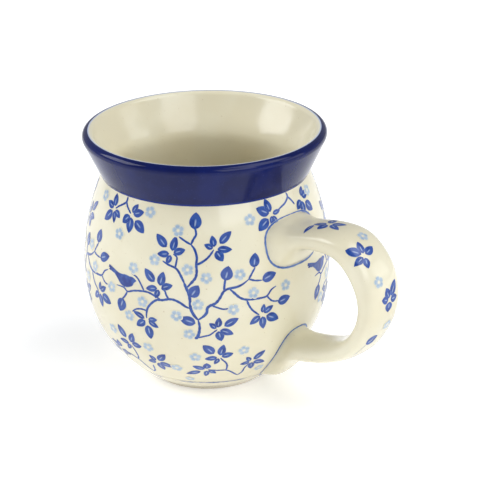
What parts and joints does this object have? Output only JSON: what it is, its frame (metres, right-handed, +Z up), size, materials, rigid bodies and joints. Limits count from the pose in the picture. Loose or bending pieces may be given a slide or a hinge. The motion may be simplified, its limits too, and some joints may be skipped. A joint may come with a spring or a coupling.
{
  "type": "stoneware mug",
  "caption": "Belly-shaped stoneware mug with a flared cobalt rim, a luted strap handle and a hand-decorated folk pattern of blue twigs, leaves, blossoms and birds.",
  "frame": {"origin": "on the mug's axis, at the plane that its foot ring rests on", "axes": "+Z up along the mug's axis, +X from the axis towards the handle, +Y across the mug, completing a right-handed set"},
  "size_m": [0.1311, 0.0914, 0.096],
  "materials": {
    "fired_clay": "matt fired stoneware, bare only on the foot ring",
    "fired_slip": "fired luting slip, smoothed",
    "cobalt_glaze": "glossy cobalt blue, slightly broken at the lip",
    "liner_glaze": "glossy warm cream",
    "clear_glaze": "glossy clear glaze over pale cream clay",
    "underglaze_blue": "cobalt underglaze decoration beneath clear glaze",
    "underglaze_pale_blue": "thin pale blue underglaze decoration beneath clear glaze"
  },
  "bodies": {
    "root": {"vessel": "fired_clay", "handle": "fired_clay", "upper_slip_joint": "fired_slip", "lower_slip_joint": "fired_slip", "rim_glaze": "cobalt_glaze", "liner_glaze": "liner_glaze", "outer_glaze": "clear_glaze", "base_glaze": "clear_glaze", "handle_glaze": "clear_glaze"}
  },
  "joints": []
}
